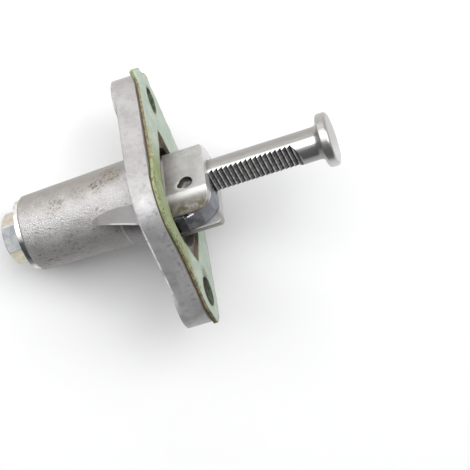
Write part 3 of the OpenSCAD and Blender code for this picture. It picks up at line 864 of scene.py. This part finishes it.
def opening_reach(angle):
    """Distance from the opening's middle to its edge: a round with two pointed ends."""
    angle = math.atan2(math.sin(angle), math.cos(angle))
    best = OPENING_R
    for side in (-1, 1):
        reach = OPENING_HALF + side * OPENING_DROP - OPENING_TIP_R
        lean = math.asin((OPENING_R - OPENING_TIP_R) / reach)
        turn = angle if side > 0 else -angle
        # slanted side, mirrored to both flanks of the point
        turn = math.pi / 2 - abs(math.pi / 2 - turn) if math.sin(turn) > 0 else turn
        tip_touch = math.atan2(reach + OPENING_TIP_R * math.sin(lean), OPENING_TIP_R * math.cos(lean))
        if lean < turn < tip_touch:
            best = max(best, OPENING_R / math.cos(turn - lean))
        elif turn >= tip_touch:
            across = reach * math.cos(turn)
            rest = math.sqrt(max(0.0, OPENING_TIP_R ** 2 - across ** 2))
            best = max(best, reach * math.sin(turn) + rest)
    return best


def tip_reach(angle):
    """Farthest point of the frayed ends along a ray from the opening's middle, or zero."""
    best = 0.0
    ray_z, ray_y = math.cos(angle), math.sin(angle)
    sides = [*zip(GASKET_TIP, GASKET_TIP[1:]), *zip(GASKET_FOOT, GASKET_FOOT[1:])]
    for (z0, y0), (z1, y1) in sides:
        ez, ey = z1 - z0, y1 - y0
        det = ray_z * -ey + ray_y * ez
        if abs(det) < 1e-9:
            continue
        pz, py = z0 - OPENING_Z, y0 + OPENING_DROP
        reach = (pz * -ey + py * ez) / det
        share = (ray_z * py - ray_y * pz) / det
        if reach > 0 and 0 <= share <= 1:
            best = max(best, reach)
    return best


def gasket_reach(angle):
    """Distance from the opening's middle to the gasket's edge, shrunk a little except at the near corner."""
    whole = whole_reach(angle)
    y, z = from_middle(angle, whole)
    along = y if z < 0 else max(y - SHRINK_FREE, -y - 2 * SHRINK_FREE, 0.0)
    shrunk = GASKET_SHRINK * min(1.0, abs(along) / SHRINK_RAMP)
    return max(whole - shrunk, tip_reach(angle))


def past_flange(y, z):
    """How far a place lies past the flange's upper end."""
    return math.hypot(y - HOLE_HALF, z) - FLANGE_END_R


def gasket_lift(y, z):
    """Waviness of the gasket's front; its tip is curled forward, and the near corner there bent back."""
    wave = sum(uneven(y, z, *size) for size in GASKET_WAVES)
    curl = max(0.0, y - CURL_START)
    past = min(CORNER_LONGEST, max(0.0, past_flange(y, z)))
    corner = min(1.0, max(0.0, (z - CORNER_START) / CORNER_WIDTH)) if y > HOLE_HALF else 0.0
    return wave + CURL_RATE * curl * curl - CORNER_BEND * past * corner


def gasket_blank():
    """The gasket before its bolt holes are punched."""
    bm = bmesh.new()
    rows = []
    for i in range(GASKET_TURNS):
        angle = 2 * math.pi * i / GASKET_TURNS
        ray = (math.cos(angle), math.sin(angle))
        inner = opening_reach(angle) + uneven(*ray, *OPENING_RAGGED)
        outer = gasket_reach(angle) + (uneven(*ray, *EDGE_RAGGED) - EDGE_TRIM)
        row = []
        for j in range(GASKET_RINGS + 1):
            y, z = from_middle(angle, inner + (outer - inner) * j / GASKET_RINGS)
            lift = gasket_lift(y, z)
            bent = lift if past_flange(y, z) > 0 and y > HOLE_HALF else max(0.0, lift)
            back = bm.verts.new(Vector((bent if y > CURL_START else 0.0, y, z)) * MM)
            face = bm.verts.new(Vector((GASKET_T + lift, y, z)) * MM)
            row.append((back, face))
        rows.append(row)
    for here, there in zip(rows, rows[1:] + rows[:1]):
        for j in range(GASKET_RINGS):
            bm.faces.new((here[j][1], here[j + 1][1], there[j + 1][1], there[j][1]))
            bm.faces.new((here[j][0], there[j][0], there[j + 1][0], here[j + 1][0]))
        bm.faces.new((here[0][0], here[0][1], there[0][1], there[0][0]))
        bm.faces.new((here[-1][0], there[-1][0], there[-1][1], here[-1][1]))
    bmesh.ops.recalc_face_normals(bm, faces=bm.faces)
    return add_object("paper_gasket_blank", close_mesh(bm, "paper_gasket_blank"))


def gasket_punch(side):
    """Slightly ragged cutter for one bolt hole; torn paper covers the near half of the upper one."""
    middle_y, middle_z, half_y, half_z = PUNCHES[side]
    bm = bmesh.new()
    ends = []
    for x in PUNCH_ENDS:
        ring = []
        for i in range(PUNCH_STEPS):
            angle = 2 * math.pi * i / PUNCH_STEPS
            torn = uneven(math.cos(angle), math.sin(angle), PUNCH_PITCH, PUNCH_LAYER * side, PUNCH_RAGGED)
            y = middle_y + (half_y + torn) * math.sin(angle)
            z = middle_z + (half_z + torn) * math.cos(angle)
            ring.append(bm.verts.new(Vector((x, y, z)) * MM))
        ends.append(ring)
    for i in range(PUNCH_STEPS):
        k = (i + 1) % PUNCH_STEPS
        bm.faces.new((ends[0][i], ends[0][k], ends[1][k], ends[1][i]))
    bm.faces.new(ends[0])
    bm.faces.new(list(reversed(ends[1])))
    bmesh.ops.recalc_face_normals(bm, faces=bm.faces)
    return add_object("gasket_punch", close_mesh(bm, "gasket_punch"))


def gasket_edge_distance(y, z):
    """Rough distance in millimetres from the nearest cut edge."""
    angle = math.atan2(y + OPENING_DROP, z - OPENING_Z)
    reach = math.hypot(y + OPENING_DROP, z - OPENING_Z)
    gaps = [gasket_reach(angle) - reach, reach - opening_reach(angle)]
    for middle_y, middle_z, half_y, half_z in PUNCHES.values():
        share = math.hypot((y - middle_y) / half_y, (z - middle_z) / half_z)
        gaps.append((share - 1) * min(half_y, half_z))
    return max(0.0, min(gaps))


def make_gasket(finish):
    blank = gasket_blank()
    punches = [gasket_punch(side) for side in (-1, 1)]
    for punch in punches:
        cut = blank.modifiers.new("hole", "BOOLEAN")
        cut.operation = "DIFFERENCE"
        cut.solver = "EXACT"
        cut.object = punch
    shape = evaluated_mesh(blank, "paper_gasket")
    for spare in [blank, *punches]:
        bpy.data.objects.remove(spare)
    edge = shape.attributes.new("to_edge", "FLOAT", "POINT")
    for vertex in shape.vertices:
        edge.data[vertex.index].value = gasket_edge_distance(vertex.co.y / MM, vertex.co.z / MM)
    for polygon in shape.polygons:
        polygon.use_smooth = abs(polygon.normal.x) > FLAT_SHARE
    dress(shape, finish)
    return add_object("paper_gasket", shape)


# dried sealant

def near_edge_path():
    """Poly line along the gasket's near edge, where sealant has dried."""
    curve = bpy.data.curves.new("near_edge", "CURVE")
    curve.dimensions = "3D"
    spline = curve.splines.new("POLY")
    spline.points.add(FLAKE_PATH_POINTS - 1)
    for i, point in enumerate(spline.points):
        angle = FLAKE_START + (FLAKE_END - FLAKE_START) * i / (FLAKE_PATH_POINTS - 1)
        y, z = from_middle(angle, gasket_reach(angle) - FLAKE_INSET)
        point.co = (*(Vector((GASKET_T + gasket_lift(y, z), y, z)) * MM), 1.0)
    return add_object("near_edge", curve)


def flake_tree(finish):
    """Node tree that strews flattened flakes along a path, and its inputs by name."""
    tree = bpy.data.node_groups.new("sealant_flakes", "GeometryNodeTree")
    inputs = {}
    for name, kind in FLAKE_INPUTS.items():
        inputs[name] = tree.interface.new_socket(name, in_out="INPUT", socket_type=kind)
    tree.interface.new_socket("Geometry", in_out="OUTPUT", socket_type="NodeSocketGeometry")
    given = add_node(tree, "NodeGroupInput").outputs
    points = add_node(tree, "GeometryNodeResampleCurve", {
        "Curve": given["Geometry"],
        "Count": given["Flake Count"],
    })
    # strewn a little off the path, both ways
    back = add_node(tree, "ShaderNodeVectorMath", {0: given["Spread"], "Scale": -1.0}, operation="SCALE")
    stray = add_node(tree, "FunctionNodeRandomValue", {
        "Min": back.outputs["Vector"],
        "Max": given["Spread"],
        "Seed": given["Seed"],
    }, data_type="FLOAT_VECTOR")
    strewn = add_node(tree, "GeometryNodeSetPosition", {
        "Geometry": points.outputs["Curve"],
        "Offset": stray.outputs["Value"],
    })
    # one flattened flake, and how each copy is turned, sized and kept or left out
    ball = add_node(tree, "GeometryNodeMeshIcoSphere", {
        "Radius": given["Flake Size"],
        "Subdivisions": FLAKE_ROUNDS,
    })
    flat = add_node(tree, "GeometryNodeTransform", {"Geometry": ball.outputs["Mesh"], "Scale": FLAKE_SHAPE})
    turn = add_node(tree, "FunctionNodeRandomValue", {
        "Min": -FLAKE_TURN,
        "Max": FLAKE_TURN,
        "Seed": given["Seed"],
    }, data_type="FLOAT_VECTOR")
    turned = add_node(tree, "FunctionNodeEulerToRotation", {"Euler": turn.outputs["Value"]})
    grow = add_node(tree, "FunctionNodeRandomValue", {"Seed": given["Seed"]}, data_type="FLOAT")
    of_type(grow.inputs, "VALUE", "Min").default_value = FLAKE_SMALLEST
    of_type(grow.inputs, "VALUE", "Max").default_value = 1.0
    kept = add_node(tree, "FunctionNodeRandomValue", {
        "Probability": given["Flake Share"],
        "Seed": given["Seed"],
    }, data_type="BOOLEAN")
    placed = add_node(tree, "GeometryNodeInstanceOnPoints", {
        "Points": strewn.outputs["Geometry"],
        "Selection": of_type(kept.outputs, "BOOLEAN"),
        "Instance": flat.outputs["Geometry"],
        "Rotation": turned.outputs["Rotation"],
        "Scale": of_type(grow.outputs, "VALUE"),
    })
    real = add_node(tree, "GeometryNodeRealizeInstances", {"Geometry": placed.outputs["Instances"]})
    painted = add_node(tree, "GeometryNodeSetMaterial", {
        "Geometry": real.outputs["Geometry"],
        "Material": finish,
    })
    add_node(tree, "NodeGroupOutput", {"Geometry": painted.outputs["Geometry"]})
    return tree, inputs


def make_flakes(finish):
    path = near_edge_path()
    tree, inputs = flake_tree(finish)
    strew = path.modifiers.new("flakes", "NODES")
    strew.node_group = tree
    strew[inputs["Flake Count"].identifier] = FLAKE_COUNT
    strew[inputs["Flake Size"].identifier] = FLAKE_SIZE * MM
    strew[inputs["Spread"].identifier] = FLAKE_SPREAD * MM
    strew[inputs["Seed"].identifier] = FLAKE_SEED
    strew[inputs["Flake Share"].identifier] = FLAKE_SHARE
    mesh = evaluated_mesh(path, "sealant_flakes")
    bpy.data.objects.remove(path)
    return add_object("sealant_flakes", mesh)


# spring

def make_coil(finish):
    """The plunger's spring as one welded mesh."""
    bm = bmesh.new()
    bm.from_mesh(NODES["plunger_spring"].data)
    bmesh.ops.remove_doubles(bm, verts=bm.verts, dist=WELD * MM)
    mesh = close_mesh(bm, "plunger_coil")
    dress(mesh, finish)
    return add_object("plunger_coil", mesh)


# studio

def make_floor():
    bm = bmesh.new()
    slope = math.tan(FLOOR_LEAN)
    grid = []
    for x in [*(-far for far in reversed(FLOOR_STATIONS)), 0, *FLOOR_STATIONS]:
        eased = FLOOR_LEVEL_OUT * math.tanh((x - FLOOR_TOUCH[0]) / FLOOR_LEVEL_OUT)
        height = FLOOR_TOUCH[1] - slope * eased
        grid.append([bm.verts.new(Vector((x, y, height)) * MM) for y in (-FLOOR_HALF, FLOOR_HALF)])
    for low, high in zip(grid, grid[1:]):
        bm.faces.new((low[0], high[0], high[1], low[1]))
    mesh = close_mesh(bm, "studio_floor")
    for polygon in mesh.polygons:
        polygon.use_smooth = True
    dress(mesh, floor_white())
    add_object("studio_floor", mesh)


def floor_white():
    """White paint with a little glow; seen from the camera the glow takes over far from the part."""
    material = bpy.data.materials.new("floor_white")
    material.use_nodes = True
    tree = material.node_tree
    tree.nodes.clear()
    paint = add_node(tree, "ShaderNodeBsdfDiffuse", {"Color": FLOOR_PAINT})
    glow = add_node(tree, "ShaderNodeEmission", {"Color": WHITE})
    path = add_node(tree, "ShaderNodeLightPath").outputs
    coords = add_node(tree, "ShaderNodeTexCoord").outputs["Object"]
    away = add_node(tree, "ShaderNodeVectorMath", {0: coords}, operation="LENGTH").outputs["Value"]
    fade = smooth_step(tree, away, FLOOR_NEAR * MM, FLOOR_FAR * MM, FLOOR_GLOW, 1.0)
    seen = add_math(tree, "MULTIPLY", path["Is Camera Ray"], fade)
    mirrored = add_math(tree, "MULTIPLY", path["Is Glossy Ray"], FLOOR_GLOW)
    surface = mix_shaders(tree, add_math(tree, "MAXIMUM", seen, mirrored), paint, glow)
    add_node(tree, "ShaderNodeOutputMaterial", {"Surface": surface})
    return material


def make_world():
    """Soft light from the room; the camera sees plain white."""
    world = bpy.data.worlds.new("studio_air")
    bpy.context.scene.world = world
    world.use_nodes = True
    tree = world.node_tree
    tree.nodes.clear()
    coords = add_node(tree, "ShaderNodeTexCoord").outputs["Generated"]
    up = add_node(tree, "ShaderNodeSeparateXYZ", {0: coords}).outputs["Y"]
    strength = smooth_step(tree, up, ROOM_LOW, ROOM_HIGH, ROOM_DARK, ROOM_LIGHT)
    room = add_node(tree, "ShaderNodeBackground", {"Color": ROOM_TINT, "Strength": strength})
    white = add_node(tree, "ShaderNodeBackground", {"Color": WHITE})
    seen = add_node(tree, "ShaderNodeLightPath").outputs["Is Camera Ray"]
    add_node(tree, "ShaderNodeOutputWorld", {"Surface": mix_shaders(tree, seen, room, white)})


def add_softbox(name, place_mm, size_mm, power):
    lamp = bpy.data.lights.new(name, "AREA")
    lamp.shape = "RECTANGLE"
    lamp.size = size_mm[0] * MM
    lamp.size_y = size_mm[1] * MM
    lamp.energy = power
    holder = add_object(name, lamp)
    holder.location = Vector(place_mm) * MM
    aim = -Vector(place_mm).normalized()
    holder.rotation_mode = "QUATERNION"
    holder.rotation_quaternion = aim.to_track_quat("-Z", "Y")


def make_camera():
    back = Vector((math.sin(CAMERA_TURN), 0, math.cos(CAMERA_TURN)))
    level = Vector((math.cos(CAMERA_TURN), 0, -math.sin(CAMERA_TURN)))
    upright = Vector((0, 1, 0))
    right = level * math.cos(CAMERA_ROLL) - upright * math.sin(CAMERA_ROLL)
    up = level * math.sin(CAMERA_ROLL) + upright * math.cos(CAMERA_ROLL)
    place = back * CAMERA_DISTANCE - right * CAMERA_CENTRE[0]
    place = place - up * CAMERA_CENTRE[1] + upright * AXIS_UP
    data = bpy.data.cameras.new("camera")
    data.lens = CAMERA_FOCAL * CAMERA_SENSOR / CAMERA_PIXELS
    data.sensor_width = CAMERA_SENSOR
    data.sensor_fit = "HORIZONTAL"
    data.clip_start, data.clip_end = CAMERA_CLIP
    camera = add_object("camera", data)
    turn = Matrix((right, up, back)).transposed()
    camera.matrix_world = Matrix.Translation(place * MM) @ turn.to_4x4()
    bpy.context.scene.camera = camera


# the part

WIRE = spring_wire()
FINISHES = {
    "housing": cast_aluminium(),
    "plunger": plunger_steel(),
    "pawl": pawl_steel(),
    "pawl_pin": pin_steel(),
    "plug_bolt": plated_steel(),
    "sealing_washer": washer_metal(),
    "pawl_spring": WIRE,
    "plunger_spring": WIRE,
}

for name, finish in FINISHES.items():
    dress(NODES[name].data, finish)

paper_gasket = make_gasket(gasket_paper())
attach(paper_gasket, "housing")
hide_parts("gasket")

sealant_flakes = make_flakes(dried_sealant())
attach(sealant_flakes, "housing")

# the coil, welded into one mesh, stands on the plug bolt
plunger_coil = make_coil(WIRE)
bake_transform(plunger_coil)
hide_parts("plunger_spring")

make_floor()
make_world()
make_camera()
for name, (place_mm, size_mm, power) in SOFTBOXES.items():
    add_softbox(name, place_mm, size_mm, power)
bpy.context.scene.view_settings.view_transform = "Standard"
